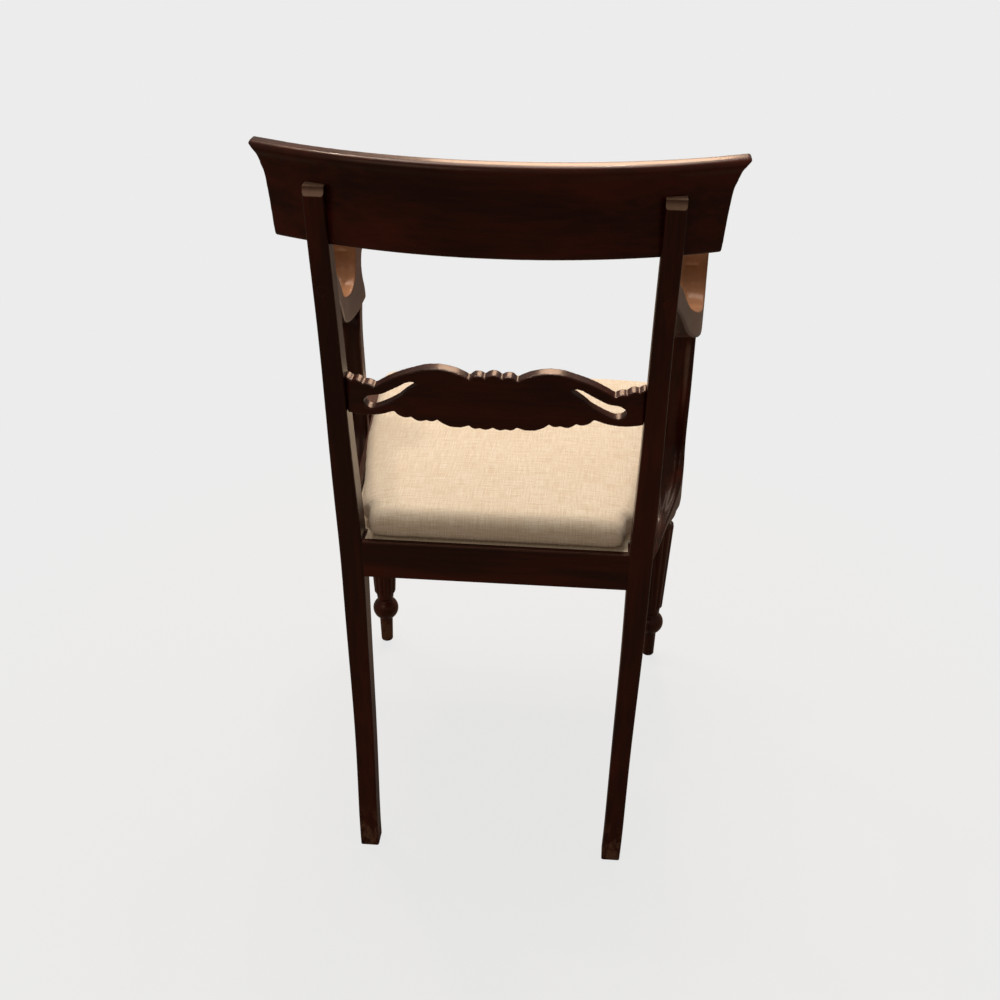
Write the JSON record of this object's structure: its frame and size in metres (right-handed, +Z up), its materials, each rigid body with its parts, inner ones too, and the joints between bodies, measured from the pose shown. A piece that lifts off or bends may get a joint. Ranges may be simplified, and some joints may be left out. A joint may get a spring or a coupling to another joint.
{
  "type": "armchair",
  "caption": "Dark wooden elbow chair with a bowed crest, carved pierced mid rail, sabre back legs, reeded turned front legs, scrolled arms and a lift-out stuffed seat",
  "frame": {"origin": "centre of the bounding box in plan, on the floor under the four feet", "axes": "+Z up; the chair faces -Y, so its back is at +Y; X runs across it, with the sitter's left arm at +X"},
  "size_m": [0.491, 0.4855, 0.8685],
  "materials": {
    "mahogany": "dark stained and French polished, worn at the feet",
    "beech": "plain sawn, unpolished",
    "steel": "dull iron-grey, unpolished",
    "webbing": "woven jute webbing",
    "linen": "plain woven undyed linen"
  },
  "bodies": {
    "chair_frame": {"back_post_left": "mahogany", "back_post_right": "mahogany", "crest_rail": "mahogany", "mid_rail": "mahogany", "rear_seat_rail": "mahogany", "front_seat_rail": "mahogany", "side_seat_rail_left": "mahogany", "side_seat_rail_right": "mahogany", "front_leg_left": "mahogany", "front_leg_right": "mahogany", "arm_left": "mahogany", "arm_right": "mahogany", "arm_support_left": "mahogany", "arm_support_right": "mahogany", "arm_screw_plugs": "mahogany", "corner_block_front_left": "beech", "corner_block_front_right": "beech", "corner_block_rear_left": "beech", "corner_block_rear_right": "beech", "arm_screws": "steel", "arm_support_screws": "steel", "corner_block_screws": "steel"},
    "drop_in_seat": {"seat_frame_front": "beech", "seat_frame_rear": "beech", "seat_frame_left": "beech", "seat_frame_right": "beech", "seat_webbing": "webbing", "webbing_tacks": "steel", "seat_cushion": "linen"}
  },
  "joints": [
    {"name": "seat_lift", "type": "slide", "parent": "chair_frame", "child": "drop_in_seat", "axis": [0, 0, 1], "range_m": [0, 0.12]}
  ]
}
